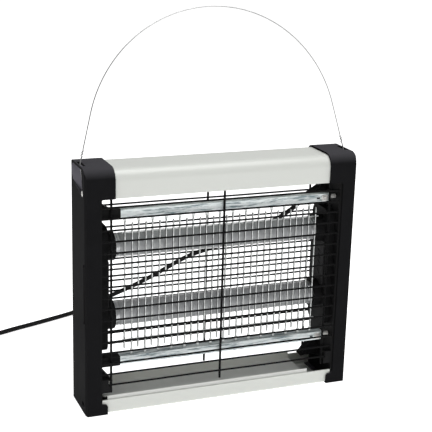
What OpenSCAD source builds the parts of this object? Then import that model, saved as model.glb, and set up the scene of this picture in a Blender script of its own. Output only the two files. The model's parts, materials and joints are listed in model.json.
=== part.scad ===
/* [Overall] */
// Width over the two end cheeks
body_w = 300; // [270:5:400]
// Height of the cheeks, without the hanging wire
body_h = 264; // [240:1:330]
// Depth of the cheeks, front to back
body_d = 60; // [56:1:72]

/* [End cheeks] */
// Wall of the moulded cheeks
cheek_wall = 2; // [1.6:0.1:2.4]
// Width of the wide cap at the top of a cheek
cap_w = 31; // [28:0.5:38]
// Height of that cap
cap_h = 31; // [30:0.5:40]
// Width of the narrow leg below the cap
leg_w = 15.5; // [14:0.5:18]
// Width of the foot at the bottom of the leg
foot_w = 23; // [21:0.5:26]
// Height of the foot below its curve
foot_h = 11.3; // [10:0.1:13]
// Radius of the cap's front top edge
front_round = 14; // [8:1:15]
// Radius of the cap's back top edge
back_round = 10; // [6:1:12]
// Radius of the foot's rounded toe
foot_round = 3; // [2:0.5:5]
// Radius of the hollow curve between leg and foot
foot_fillet = 4.5; // [3:0.5:6]
// Radius of the hollow curve between leg and cap
cap_fillet = 3; // [2:0.5:4]
// Depth of the bevel along the outer upright edges, front to back
bevel_run = 5; // [3:0.5:6]
// How far that bevel leans in from the outer face
bevel_rise = 1.2; // [0.6:0.1:1.6]

/* [Sheet housings] */
// Thickness of the painted sheet
sheet = 1.2; // [0.8:0.1:1.4]
// Clearance between sheet housings and the cheeks they slide into
seat_gap = 0.2; // [0.1:0.05:0.4]
// How far the top housing reaches into each cap
tuck = 12; // [8:1:16]
// Height of the bottom channel's front and back walls
channel_h = 15.5; // [14.5:0.5:18]
// Bend radius of the bottom channel
channel_round = 3; // [2:0.5:5]

/* [Guards] */
// Diameter of the guard wires
guard_wire = 2; // [1.6:0.1:2.4]
// Diameter of the guard uprights
guard_post_d = 2.5; // [2:0.1:2.6]
// Pitch of the level guard wires
guard_pitch = 12; // [11:0.1:14]
// Distance of the guard plane behind the cheek's front face
guard_inset = 3.7; // [3.5:0.1:4.5]
// Drop of the first level wire below the cap
guard_drop = 9.3; // [7:0.1:11]
// Distance of the outer guard uprights from the cheek's outer face
guard_post_in = 28; // [26:0.5:32]
// Height of the uprights' lower ends above the floor
guard_foot_z = 22; // [21:0.5:24]

/* [High-voltage grid] */
// Depth position of the grid plane
grid_y = -16.5; // [-17:0.5:-16]
// Depth of the folded bars
bar_d = 10; // [8:0.5:11]
// Height of the folded bars
bar_h = 9; // [7:0.5:11]
// Sheet of the folded bars
bar_sheet = 1; // [0.8:0.1:1.2]
// Drop of the upper bar's lower face below the cap
upper_bar_drop = 22.5; // [20:0.5:26]
// Height of the lower bar's upper face above the floor
lower_bar_z = 60; // [52:1:62]
// Diameter of the rods
rod_d = 2; // [1.6:0.1:2.4]
// Pitch of the rods
rod_pitch = 7.4; // [6.5:0.05:9]
// Gap between a bar and the free ends of the other bar's rods
rod_gap = 6.5; // [5:0.5:8]
// Distance of each row of rods from the grid plane
comb_offset = 0.6; // [0.4:0.1:0.9]
// Diameter of the cross wires
cross_wire = 1.6; // [1.2:0.1:1.8]
// Distance of a cross wire from the rods' free ends
cross_in = 11; // [8:0.5:16]

/* [Lamps] */
// Diameter of the lamp tubes
lamp_d = 25.4; // [22:0.1:26]
// Distance between the two lamps' axes
lamp_spacing = 75.6; // [60:0.1:84]
// Height of the lamps' middle above the middle of the grid
lamp_rise = 3; // [-4:0.5:6]
// Depth position of the lamps
lamp_y = -0.5; // [-0.5:0.5:2]
// Wall of the round sockets
socket_wall = 2.5; // [2:0.1:3]
// How far a socket stands off its base
socket_len = 9.5; // [9.5:0.5:12]
// Thickness of the raised socket base
base_rise = 9; // [7:0.5:10]

/* [Catch tray] */
// Free room for the tray to slide along
tray_slack = 34; // [20:1:60]
// Gap at the tray's left end when it is pushed home
tray_end_gap = 6; // [4:0.5:10]
// Sheet of the tray
tray_sheet = 1; // [0.8:0.1:1.2]
// Height of the tray's floor above the surface it stands on
tray_floor_z = 12; // [10:0.5:13]
// Height of the tray's front lip
tray_lip_z = 19.3; // [18:0.1:20]

/* [Hanging wire] */
// Diameter of the wire
bail_wire = 1.2; // [1:0.1:1.6]
// Radius of its arch
bail_arc_r = 139; // [110:1:180]
// Distance of the arch's centre above the cheeks
bail_rise = 14.5; // [5:0.5:40]
// Backward lean of the arch in degrees
bail_lean = 8; // [0:1:15]
// Distance of the wire behind the cheek's outer face
bail_in = 2.6; // [2.2:0.1:3]

/* [Cord] */
// Diameter of the mains cord
cord_d = 5.5; // [5:0.1:6.5]

/* [Hidden] */

$fn = 48;
eps = 0.01;
slip = 0.3;
joint_extra = 0.1;
half_w = body_w / 2;
half_d = body_d / 2;
cap_z = body_h - cap_h;
cap_x = half_w - cap_w;
leg_x = half_w - leg_w;
inner_d = half_d - cheek_wall;

// brackets: the inner plate of each cheek, with the raised socket base
plate_t = 2;
plate_gap = 0.2;
plate_x = leg_x - plate_t;
plate_z0 = cheek_wall + plate_gap;
plate_z1 = cap_z - plate_gap;
plate_half_d = inner_d - plate_gap;
base_x = plate_x - base_rise;
base_half_d = 18;
base_top = 24;
base_drop = 35.5;
base_round = 9;

// grid heights, between the two bars
upper_bar_z = cap_z - upper_bar_drop;
grid_mid_z = (upper_bar_z + lower_bar_z) / 2;
rod_half = half_w - 42;
rod_count = 2 * floor(rod_half / rod_pitch + 0.5);
rod_shift = 2.1;
bar_left = -half_w + 28;
bar_right = half_w - 26;
free_top_z = upper_bar_z - rod_gap;
free_low_z = lower_bar_z + rod_gap;
upper_comb_y = grid_y + comb_offset;
lower_comb_y = grid_y - comb_offset;
tab_w = 3;
tab_t = 1;
tab_h = 6;
insulator_margin = 0.6;
pocket_gap = 0.1;

// lamps and their sockets
lamp_z = [grid_mid_z + lamp_rise + lamp_spacing / 2, grid_mid_z + lamp_rise - lamp_spacing / 2];
base_z0 = lamp_z[1] - base_drop;
base_z1 = lamp_z[0] + base_top;
socket_face = base_x - socket_len;
lamp_seat = 2;
lamp_end = socket_face + lamp_seat;
rotor_t = 3;
rotor_gap = 0.25;
cap_len = 7;
cap_wall = 1;
pin_d = 2.35;
pin_len = 5.5;
pin_apart = 12.7;
bore_d = lamp_d + 2 * slip;
socket_d = bore_d + 2 * socket_wall;

// tray outline, all from the channel it lies in
channel_half = plate_x - plate_gap;
channel_y = inner_d - seat_gap;
tray_x0 = -channel_half + tray_end_gap;
tray_x1 = channel_half - tray_slack + tray_end_gap;
tray_front_y = -channel_y + sheet + 1.3;
stool_half = 14;
tray_lean = 3.2;
tray_back_y = channel_y - sheet - tray_lean - tray_sheet - 0.4;

// guards
guard_y = half_d - guard_inset;
guard_post_x = half_w - guard_post_in;
guard_top_z = cap_z - guard_drop;
guard_rows = floor((guard_top_z - guard_foot_z - guard_wire) / guard_pitch) + 1;
guard_low_z = guard_top_z - (guard_rows - 1) * guard_pitch;
guard_end_x = plate_x + 1;
holder_x = guard_post_x + guard_post_d / 2 + slip;
holder_d = 5.8;
holder_h = 14;
holder_top = 6;
holder_step = 2;
gusset_w = 21;
gusset_foot_h = 26;
gusset_top_h = 22;
gusset_t = 12;
gusset_y = 12;
gusset_foot_z = 21;
post_sink = 0.05;
post_in = (guard_wire + guard_post_d) / 2 - post_sink;

// screws at the cheek's outer face
wire_screw_y = -15.2;
wire_screw_z = cap_z + 4;
foot_screw_y = -16;
foot_screw_z = 8;
screw_recess_d = 8;
screw_head_d = 6.5;
screw_head_h = 2.2;
screw_shank_d = 3;
screw_depth = 3;
wire_screw_grip = 1.6;
foot_screw_len = 9;

// electrical parts on the cover under the top housing
base_t = 1.5;
parts_z = cap_z + base_t;
choke_len = 0.42 * cap_x;
choke_x = [-0.62 * cap_x, -0.08 * cap_x];
board_x = (choke_x[0] + choke_x[1]) / 2;
board_rise = 5;
board_t = 1.6;
coil_box_x = 0.32 * cap_x;

// terminals of the grid
stud_heights = [upper_bar_z + bar_h / 2, lower_bar_z - bar_h / 2];
stud_d = 4.6;
stud_thread_d = 3;
terminal_x = bar_right - 7;
terminal_screw_d = 2.5;
insulator_grip = 10.5;
socket_floor = 1.5;
glass_t = 0.8;
vent_t = 1.5;

// hanging wire
bail_x = half_w - bail_in;
bail_y = 0;
fan_depth = bail_in + 3.6;
fan_front = 14;
fan_fold = 37.5;
fan_back = 71;
fan_tilt = 15.5;
fan_reach = 60;
fan_rim = 2.5;
slot_in = 3;
slot_out = 1.4;
slot_front = -10.2;
slot_back = 9.6;

// long shallow recess beside the front edge of each cheek
groove_y = 6;
groove_w = 3;
groove_deep = 0.8;
notch_deep = 1.3;
groove_z0 = 0.386 * body_h;
groove_z1 = 0.617 * body_h;
groove_notch = 4;
bead_d = bail_wire + 0.2;
bead_in = 0.25;
eye_r = screw_shank_d / 2 + 0.05 + bead_d / 2;

// cord: where it leaves the right cheek, and the way it lies
cord_r = cord_d / 2;
exit_z = 196;
gland_len = 26;
gland_r0 = 6;
gland_r1 = 3.8;
gland_hole_r = 4.5;
gland_flange_r = gland_hole_r + 1;
exit_x = half_w - cheek_wall - gland_flange_r - 0.25;
cord_grip = 3;
coil_x = -250;
coil_y = 176;
coil_mid_r = 30;
coil_half = 5.5;
coil_z0 = 1;
coil_z1 = 16.5;
tie_len = 7;
tie_t = 0.8;
plug_x = -280;
plug_y = 112;
plug_len = 36;
plug_t = 13.7;
plug_face_w = 27;
plug_neck_w = 12;
pin_spread = 18.6;
plug_pin_d = 4;
plug_pin_len = 19;
plug_root_d = 3;
cord_start = [exit_x, half_d + gland_len - cord_grip, exit_z];
cord_points = [cord_start, cord_start + [0, cord_grip, 0], [142, 61, 195], [142, 70, 192], [141, 79, 186], [138, 86, 178],
    [132, 95, 168], [123, 107, 156], [112, 122, 143], [99, 137, 130], [85, 150, 119], [71, 162, 110],
    [58, 173, 102], [45, 184, 94], [32, 195, 84], [19, 206, 72], [6, 217, 60], [-8, 227, 49],
    [-22, 238, 38], [-37, 248, 28], [-52, 255, 19], [-67, 259, 11], [-84, 260, 5], [-103, 255, 3],
    [-125, 246, 3], [-148, 237, 3], [-170, 229, 3], [-192, 220, 3], [-212, 213, 3], [-231, 209, 3],
    [-250, 209, 3]];
tail_points = [[-280, 180, 14], [-280, 168, 14], [-280, 156, 14], [-280, 145, 12], [-280, 134, 9],
    [-280, 123, 7], [-280, 112, 7]];

// puts a flat X-Z outline upright, with its thickness centred on Y = 0
module upright(depth) {
    rotate([90, 0, 0])
        linear_extrude(depth, center = true)
            children();
}

// runs a flat Y-Z outline along +X
module along_x(length) {
    rotate([90, 0, 90])
        linear_extrude(length)
            children();
}

module rod_x(x0, x1, y, z, d) {
    translate([x0, y, z])
        rotate([0, 90, 0])
            cylinder(d = d, h = x1 - x0);
}

module rod_z(x, y, z0, z1, d) {
    translate([x, y, z0])
        cylinder(d = d, h = z1 - z0);
}

module rod_y(x, y0, y1, z, d) {
    translate([x, y0, z])
        rotate([-90, 0, 0])
            cylinder(d = d, h = y1 - y0);
}

// a square with a quarter circle taken out, for a hollow curve
module hollow_corner(r) {
    difference() {
        square(r);
        translate([r, r])
            circle(r);
    }
}

// front view of a cheek, measured inwards from its outer face
module cheek_front() {
    square([leg_w, body_h]);
    translate([0, cap_z])
        square([cap_w, cap_h]);
    square([foot_w - foot_round, foot_h]);
    square([foot_w, foot_h - foot_round]);
    translate([foot_w - foot_round, foot_h - foot_round])
        circle(foot_round);
    translate([leg_w, foot_h])
        hollow_corner(foot_fillet);
    translate([leg_w, cap_z])
        mirror([0, 1])
            hollow_corner(cap_fillet);
}

// side view with its two top corners rounded, drawn in from the true outline
module cheek_side(inset) {
    d = half_d - inset;
    rounded_side(d, inset, body_h - inset, front_round - inset, back_round - inset);
}

// Y-Z outline of half depth d from z0 up to z1, with its top corners rounded
module rounded_side(d, z0, z1, front_r, back_r) {
    side_r = max(front_r, back_r);
    translate([-d, z0])
        square([2 * d, z1 - side_r - z0]);
    translate([front_r - d, z0])
        square([2 * d - front_r - back_r, z1 - z0]);
    translate([0, z0])
        square([d, z1 - back_r - z0]);
    translate([-d, z0])
        square([d, z1 - front_r - z0]);
    translate([front_r - d, z1 - front_r])
        circle(front_r);
    translate([d - back_r, z1 - back_r])
        circle(back_r);
}

// the right cheek; the left one is its mirror image
module cheek() {
    fan_x = half_w - fan_depth;
    difference() {
        intersection() {
            translate([half_w, 0, 0])
                mirror([1, 0, 0])
                    upright(body_d)
                        cheek_front();
            translate([cap_x - 1, 0, 0])
                along_x(cap_w + 1)
                    cheek_side(0);
        }
        difference() {
            intersection() {
                union() {
                    translate([half_w - leg_w - cap_fillet - 2, -half_d, cheek_wall])
                        cube([leg_w + cap_fillet + 2 - cheek_wall, body_d, cap_z - cheek_wall]);
                    translate([half_w - foot_w - 1, -half_d, cheek_wall])
                        cube([foot_w, body_d, foot_h + foot_fillet]);
                    translate([cap_x - 1, -half_d, cap_z + cheek_wall])
                        cube([cap_w + 1 - cheek_wall, body_d, cap_h]);
                    translate([leg_x, -half_d, cap_z - 1])
                        cube([leg_w - cheek_wall, body_d, cheek_wall + 2]);
                }
                translate([cap_x - 2, 0, 0])
                    along_x(cap_w + 2)
                        cheek_side(cheek_wall);
            }
            // solid block behind the fan-shaped pocket of the hanging wire
            translate([fan_x - cheek_wall, wire_screw_y - 7, wire_screw_z - 8])
                cube([fan_depth + cheek_wall, half_d - wire_screw_y + 6, body_h]);
            // pillar for the lower screw
            rod_x(half_w - leg_w + 4, half_w - 1, foot_screw_y, foot_screw_z, screw_recess_d + 4);
        }
        // fan-shaped pocket that the hanging wire swings in, round a low boss for its eye
        difference() {
            wire_pocket(fan_x);
            rod_x(fan_x - 1, bail_x - bead_d / 2 - 0.1, wire_screw_y, wire_screw_z, screw_head_d);
        }
        // slot that the hanging wire leaves the pocket through
        translate([bail_x - slot_in, slot_front, body_h - fan_rim - 0.5])
            cube([slot_in + slot_out, slot_back - slot_front, fan_rim + 1]);
        // long recess with a notch at each end
        translate([half_w - groove_deep, groove_y - half_d, groove_z0])
            cube([groove_deep + 1, groove_w, groove_z1 - groove_z0]);
        for (z = [groove_z0, groove_z1])
            translate([half_w - notch_deep, groove_y - half_d, z - groove_notch / 2])
                cube([notch_deep + 1, groove_w + 1, groove_notch]);
        // lower screw recess and the pilot bores
        rod_x(half_w - screw_depth, half_w + 1, foot_screw_y, foot_screw_z, screw_recess_d);
        rod_x(fan_x - wire_screw_grip, half_w, wire_screw_y, wire_screw_z, screw_shank_d + 0.1);
        rod_x(half_w - foot_screw_len, half_w, foot_screw_y, foot_screw_z, screw_shank_d + 0.1);
        // bevels along the outer upright edges
        for (s = [0, 1])
            mirror([0, s, 0])
                translate([half_w, -half_d, -1])
                    linear_extrude(body_h + 2)
                        polygon([[eps, -eps], [-bevel_rise, -eps], [eps, bevel_run]]);
    }
}

module wire_pocket(x) {
    r = screw_recess_d / 2;
    front = [sin(fan_front), cos(fan_front)];
    back = [sin(fan_back), cos(fan_back)];
    front_foot = r * [-front[1], front[0]];
    back_foot = r * [back[1], -back[0]];
    difference() {
        intersection() {
            translate([x, wire_screw_y, wire_screw_z])
                along_x(fan_depth + 1) {
                    circle(r);
                    polygon([front_foot, front_foot + fan_reach * front, fan_reach * [1, 1],
                        back_foot + fan_reach * back, back_foot]);
                }
            translate([x - 1, 0, 0])
                along_x(fan_depth + 3)
                    cheek_side(fan_rim);
        }
        // the floor climbs to the outer face behind the fold
        translate([x, wire_screw_y, wire_screw_z])
            rotate([-fan_fold, 0, 0])
                rotate([0, 0, -fan_tilt])
                    translate([-fan_reach, 0, -fan_reach])
                        cube([fan_reach, fan_reach, 2 * fan_reach]);
    }
}

module left_cheek() {
    color("#1f1f21")
        mirror([1, 0, 0])
            cheek();
}

module right_cheek() {
    color("#1f1f21")
        difference() {
            cheek();
            rod_y(exit_x, half_d - cheek_wall - 1, half_d + 1, exit_z, 2 * gland_hole_r);
        }
}

// inner plate of the right cheek, with the hollow raised base of the sockets
module bracket() {
    base_h = base_z1 - base_z0;
    difference() {
        union() {
            translate([plate_x, -plate_half_d, plate_z0])
                cube([plate_t, 2 * plate_half_d, plate_z1 - plate_z0]);
            translate([base_x, 0, 0])
                along_x(base_rise + eps)
                    rounded_base(base_half_d, base_h, base_round, base_z0);
            // gussets behind, and the holder of the front guard's lowest wire
            translate([plate_x + eps, gusset_y, 0])
                upright(gusset_t) {
                    polygon([[0, plate_z1 - gusset_top_h], [-gusset_w, plate_z1 - gusset_top_h],
                        [-gusset_w / 3, plate_z1 - 0.6 * gusset_top_h], [-gusset_w / 5, plate_z1],
                        [0, plate_z1]]);
                    polygon([[0, gusset_foot_z], [-gusset_w, gusset_foot_z],
                        [0, gusset_foot_z + gusset_foot_h]]);
                }
            translate([holder_x, -plate_half_d, guard_low_z + holder_top - holder_h])
                cube([plate_x - holder_x + eps, holder_d, holder_h / 2]);
            translate([holder_x + holder_step, -plate_half_d, guard_low_z + holder_top - holder_h])
                cube([plate_x - holder_x - holder_step + eps, holder_d, holder_h]);
        }
        translate([base_x + cheek_wall, 0, 0])
            along_x(base_rise + plate_t)
                rounded_base(base_half_d - cheek_wall, base_h - 2 * cheek_wall,
                    base_round - cheek_wall, base_z0 + cheek_wall);
        for (k = [0 : guard_rows - 1]) {
            z = guard_top_z - k * guard_pitch;
            rod_x(holder_x - 1, leg_x + 1, -guard_y, z, guard_wire + 2 * pocket_gap);
            rod_x(plate_x - 1, leg_x + 1, guard_y, z, guard_wire + 2 * pocket_gap);
        }
        for (z = stud_heights)
            rod_x(plate_x - 1, leg_x + 1, grid_y, z, stud_thread_d + 0.1);
    }
}

module rounded_base(half, height, r, z0) {
    translate([-half, z0 + r])
        square([2 * half, height - 2 * r]);
    translate([r - half, z0])
        square([2 * (half - r), height]);
    for (y = [-1, 1], z = [z0 + r, z0 + height - r])
        translate([y * (half - r), z])
            circle(r);
}

module left_bracket() {
    color("#18181a")
        mirror([1, 0, 0])
            bracket();
}

module right_bracket() {
    color("#18181a")
        bracket();
}

// outline of the top housing, open below
module housing_outline(inset) {
    drop = cheek_wall + seat_gap + inset;
    rounded_side(channel_y - inset, cap_z - 1, body_h - drop, front_round - drop, back_round - drop);
}

module top_housing() {
    end = cap_x + tuck;
    color("#d8d9d3")
        difference() {
            translate([-end, 0, 0])
                along_x(2 * end)
                    difference() {
                        housing_outline(0);
                        housing_outline(sheet);
                        translate([-half_d, cap_z - 2])
                            square([body_d, 2]);
                    }
            // the ends stand above the floor of each cap
            for (s = [-1, 1])
                translate([s * (cap_x + tuck) - tuck - seat_gap, -half_d, cap_z - 1])
                    cube([2 * (tuck + seat_gap), body_d, 1 + cheek_wall + seat_gap]);
        }
}

// flat cover under the top housing, which carries the electrical parts
module housing_base() {
    color("#cfd0ca")
        translate([seat_gap - cap_x, sheet + seat_gap - channel_y, cap_z])
            cube([2 * (cap_x - seat_gap), 2 * (channel_y - sheet - seat_gap), base_t]);
}

module channel_outline(inset) {
    d = channel_y - inset;
    r = channel_round - inset;
    translate([-d, inset + r])
        square([2 * d, channel_h]);
    translate([r - d, inset])
        square([2 * (d - r), channel_h]);
    for (s = [-1, 1])
        translate([s * (d - r), inset + r])
            circle(r);
}

module bottom_channel() {
    toe_x = half_w - foot_w - seat_gap;
    color("#d6d7d2")
        difference() {
            translate([-channel_half, 0, 0])
                along_x(2 * channel_half)
                    difference() {
                        channel_outline(0);
                        channel_outline(sheet);
                        translate([-half_d, channel_h])
                            square([body_d, channel_h]);
                    }
            // the ends lie on the floor of each foot
            for (s = [-1, 1])
                translate([s > 0 ? toe_x : -toe_x - foot_w, -half_d, -1])
                    cube([foot_w, body_d, 1 + cheek_wall + seat_gap]);
        }
}

// two folded stools that carry the tray
module tray_supports() {
    top = tray_floor_z - tray_sheet - 0.05;
    leg = 1.5;
    width = 10;
    color("#9a9c98")
        for (x = [-0.58 * channel_half, 0.52 * channel_half])
            difference() {
                translate([x - width / 2, -stool_half, sheet])
                    cube([width, 2 * stool_half, top - sheet]);
                translate([x - width, leg - stool_half, sheet - 1])
                    cube([2 * width, 2 * (stool_half - leg), top - sheet + 1 - leg]);
            }
}

// shallow tray of bent sheet: a back wall, a floor and a front that slopes up to a turned lip
module catch_tray() {
    t = tray_sheet;
    f = tray_floor_z;
    z = tray_lip_z;
    fold = tray_front_y + 12.5;
    color("#c9ccc6")
        translate([tray_x0, 0, 0])
            along_x(tray_x1 - tray_x0)
                polygon([[tray_back_y + tray_lean, z - 0.8], [tray_back_y, f], [fold, f],
                    [tray_front_y, z], [tray_front_y - 0.9, channel_h - 0.8],
                    [tray_front_y - 0.9 + 0.8 * t, channel_h - 0.8],
                    [tray_front_y + 0.7, z - t - 0.4], [fold, f - t],
                    [tray_back_y + 0.7 * t, f - t], [tray_back_y + tray_lean + t, z - 0.8]]);
}

// level wires of one guard
module guard_wires(y) {
    for (k = [0 : guard_rows - 1])
        rod_x(-guard_end_x, guard_end_x, y, guard_top_z - k * guard_pitch, guard_wire);
}

// the three uprights welded behind them
module guard_posts(y) {
    for (x = [-guard_post_x, 0, guard_post_x])
        rod_z(x, y, guard_foot_z, cap_z - plate_gap, guard_post_d);
}

module front_guard() {
    color("#161618")
        guard_wires(-guard_y);
}

module rear_guard() {
    color("#161618")
        guard_wires(guard_y);
}

module front_guard_posts() {
    color("#161618")
        guard_posts(post_in - guard_y);
}

module rear_guard_posts() {
    color("#161618")
        guard_posts(guard_y - post_in);
}

// folded bar, a channel open at the back
module hv_bar(z0) {
    t = bar_sheet;
    difference() {
        translate([bar_left, grid_y - bar_d / 2, z0])
            cube([bar_right - bar_left, bar_d, bar_h]);
        translate([bar_left - 1, grid_y - bar_d / 2 + t, z0 + t])
            cube([bar_right - bar_left + 1 - t, bar_d, bar_h - 2 * t]);
        // slot and screw hole at the right end
        rod_y(terminal_x, grid_y - bar_d, grid_y, z0 + bar_h / 2, terminal_screw_d + 0.1);
        translate([terminal_x - 9, grid_y - bar_d, z0 + bar_h / 2 - 1])
            cube([4, bar_d, 2]);
        rod_x(bar_right - 2 * t, bar_right + 1, grid_y, z0 + bar_h / 2, stud_thread_d + 0.1);
    }
}

module upper_hv_bar() {
    color("#aab3b4")
        hv_bar(upper_bar_z);
}

module lower_hv_bar() {
    color("#aab3b4")
        hv_bar(lower_bar_z - bar_h);
}

function rod_x_at(k) = rod_shift + (k - (rod_count - 1) / 2) * rod_pitch;

// every second rod hangs from the upper bar by a flattened tab
module upper_rods() {
    y = upper_comb_y;
    color("#c4c8c8") {
        for (k = [0 : 2 : rod_count - 1]) {
            rod_z(rod_x_at(k), y, free_low_z, upper_bar_z - tab_h + 1, rod_d);
            translate([rod_x_at(k) - tab_w / 2, y - tab_t / 2, upper_bar_z - tab_h])
                cube([tab_w, tab_t, tab_h]);
        }
        rod_x(rod_x_at(0) - 3, rod_x_at(rod_count - 1) + 5, y + (rod_d + cross_wire) / 2 - 0.2,
            free_top_z - cross_in, cross_wire);
    }
}

// the rods between them stand on the lower bar
module lower_rods() {
    y = lower_comb_y;
    color("#c4c8c8") {
        for (k = [1 : 2 : rod_count - 1]) {
            rod_z(rod_x_at(k), y, lower_bar_z + tab_h - 1, free_top_z, rod_d);
            translate([rod_x_at(k) - tab_w / 2, y - tab_t / 2, lower_bar_z])
                cube([tab_w, tab_t, tab_h]);
        }
        rod_x(rod_x_at(0) - 3, rod_x_at(rod_count - 1) + 3, y - (rod_d + cross_wire) / 2 + 0.2,
            free_low_z + cross_in, cross_wire);
    }
}

// moulded block that holds the left end of a bar off the cheek
module insulator(z0) {
    m = insulator_margin;
    g = pocket_gap;
    difference() {
        translate([-plate_x, grid_y - bar_d / 2 - m, z0 - m])
            cube([bar_left + plate_x + insulator_grip, bar_d + 2 * m, bar_h + 2 * m]);
        translate([bar_left - g, grid_y - bar_d / 2 - g, z0 - g])
            cube([insulator_grip + 1, bar_d + 2 * g, bar_h + 2 * g]);
    }
}

module upper_insulator() {
    color("#141416")
        insulator(upper_bar_z);
}

module lower_insulator() {
    color("#141416")
        insulator(lower_bar_z - bar_h);
}

// square-washer screws on the bars' front faces
module terminal_screws() {
    y = grid_y - bar_d / 2;
    color("#d5d5cf")
        for (z = stud_heights)
            difference() {
                union() {
                    translate([terminal_x - 3.3, y - 1, z - 3.3])
                        cube([6.6, 1, 6.6]);
                    rod_y(terminal_x, y - 2.6, y - 1, z, 5);
                    rod_y(terminal_x, y - 1, y + 6, z, terminal_screw_d);
                }
                translate([terminal_x - 2, y - 3, z - 0.4])
                    cube([4, 1.2, 0.8]);
                translate([terminal_x - 0.4, y - 3, z - 2])
                    cube([0.8, 1.2, 4]);
            }
}

// bright studs between the bars' right ends and the cheek
module terminal_studs() {
    color("#d5d5cf")
        for (z = stud_heights) {
            rod_x(bar_right, plate_x, grid_y, z, stud_d);
            rod_x(bar_right - bar_sheet - 1, leg_x + 3, grid_y, z, stud_thread_d);
        }
}

// round socket of the right-hand side
module socket(z) {
    difference() {
        rod_x(socket_face, base_x, lamp_y, z, socket_d);
        rod_x(socket_face - 1, base_x - socket_floor, lamp_y, z, bore_d);
    }
}

module rotor(z) {
    difference() {
        rod_x(lamp_end + pocket_gap, lamp_end + pocket_gap + rotor_t, lamp_y, z, bore_d - 2 * rotor_gap);
        for (s = [-1, 1])
            rod_x(lamp_end - 1, lamp_end + rotor_t + 2, lamp_y, z + s * pin_apart / 2, pin_d + 0.1);
    }
}

module socket_upper_left() {
    color("#1b1b1d")
        mirror([1, 0, 0])
            socket(lamp_z[0]);
}

module socket_upper_right() {
    color("#1b1b1d")
        socket(lamp_z[0]);
}

module socket_lower_left() {
    color("#1b1b1d")
        mirror([1, 0, 0])
            socket(lamp_z[1]);
}

module socket_lower_right() {
    color("#1b1b1d")
        socket(lamp_z[1]);
}

module rotor_upper_left() {
    color("#e4e4de")
        mirror([1, 0, 0])
            rotor(lamp_z[0]);
}

module rotor_upper_right() {
    color("#e4e4de")
        rotor(lamp_z[0]);
}

module rotor_lower_left() {
    color("#e4e4de")
        mirror([1, 0, 0])
            rotor(lamp_z[1]);
}

module rotor_lower_right() {
    color("#e4e4de")
        rotor(lamp_z[1]);
}

// glass tube of a lamp
module lamp_tube(z) {
    end = lamp_end - cap_len;
    difference() {
        rod_x(-end, end, lamp_y, z, lamp_d);
        rod_x(-end - 1, end + 1, lamp_y, z, lamp_d - 2 * glass_t);
    }
}

module upper_tube() {
    color("#d7d9da")
        lamp_tube(lamp_z[0]);
}

module lower_tube() {
    color("#d7d9da")
        lamp_tube(lamp_z[1]);
}

// aluminium end caps, each bored for its two pins
module lamp_caps(z) {
    x = lamp_end - cap_len;
    for (s = [0, 1])
        mirror([s, 0, 0])
            difference() {
                rod_x(x, lamp_end, lamp_y, z, lamp_d);
                rod_x(x - 1, lamp_end - cap_wall, lamp_y, z, lamp_d - 2 * cap_wall);
                for (k = [-1, 1])
                    rod_x(x, lamp_end + 1, lamp_y, z + k * pin_apart / 2, pin_d + 0.1);
            }
}

module upper_lamp_caps() {
    color("#b9bcbd")
        lamp_caps(lamp_z[0]);
}

module lower_lamp_caps() {
    color("#b9bcbd")
        lamp_caps(lamp_z[1]);
}

module lamp_pins(z) {
    for (s = [0, 1], k = [-1, 1])
        mirror([s, 0, 0])
            rod_x(lamp_end - 3, lamp_end + pin_len, lamp_y, z + k * pin_apart / 2, pin_d);
}

module upper_lamp_pins() {
    color("#c9a767")
        lamp_pins(lamp_z[0]);
}

module lower_lamp_pins() {
    color("#c9a767")
        lamp_pins(lamp_z[1]);
}

// slotted cover on the socket base, between the sockets
module vent_panel() {
    mid = (lamp_z[0] + lamp_z[1]) / 2;
    half_h = lamp_spacing / 2 - socket_d / 2 + 3;
    difference() {
        translate([base_x - vent_t, 0, 0])
            along_x(vent_t)
                rounded_base(base_half_d - 2, 2 * half_h, 2, mid - half_h);
        for (z = [lamp_z[0], lamp_z[1]])
            rod_x(base_x - vent_t - 1, base_x + 1, lamp_y, z, socket_d + 1);
        for (k = [-2 : 2], y = [-6, 7])
            translate([base_x - vent_t - 1, y, mid + k * 6])
                rotate([40, 0, 0])
                    translate([0, -3.5, -0.8])
                        cube([vent_t + 2, 7, 1.6]);
    }
}

module left_vent_panel() {
    color("#343032")
        mirror([1, 0, 0])
            vent_panel();
}

module right_vent_panel() {
    color("#343032")
        vent_panel();
}

// arch of spring wire, hooked round a screw in each cheek
module hanging_wire() {
    drop_y = bail_y - wire_screw_y;
    drop_z = body_h - wire_screw_z;
    centre_far = norm([bail_x, bail_rise]);
    leg_len = sqrt(centre_far * centre_far - bail_arc_r * bail_arc_r);
    leg_slope = 90 - asin(bail_arc_r / centre_far) - atan2(bail_rise, bail_x);
    color("#8f9294") {
        for (s = [-1, 1]) {
            translate([s * bail_x, wire_screw_y, wire_screw_z])
                rotate([0, 90, 0])
                    wire_ring(eye_r, 360, 32, bead_d);
            translate([s * bail_x, wire_screw_y, wire_screw_z])
                rotate([-atan2(drop_y, drop_z), 0, 0])
                    translate([0, 0, eye_r])
                        cylinder(d = bail_wire, h = norm([drop_y, drop_z]) - eye_r - bead_in);
            translate([s * bail_x, bail_y, body_h])
                sphere(d = bead_d);
        }
        translate([0, bail_y, body_h])
            rotate([-bail_lean, 0, 0]) {
                for (s = [-1, 1])
                    translate([s * bail_x, 0, 0])
                        rotate([0, -s * leg_slope, 0]) {
                            translate([0, 0, bead_in])
                                cylinder(d = bail_wire, h = leg_len - 2 * bead_in);
                            translate([0, 0, leg_len])
                                sphere(d = bead_d);
                        }
                translate([0, 0, bail_rise])
                    rotate([90, 0, 0])
                        rotate([0, 0, leg_slope])
                            wire_ring(bail_arc_r, 180 - 2 * leg_slope, 180, bail_wire);
            }
    }
}

module wire_ring(r, angle, steps, d) {
    rotate_extrude(angle = angle, $fn = steps)
        translate([r, 0])
            circle(d = d, $fn = 16);
}

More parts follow.
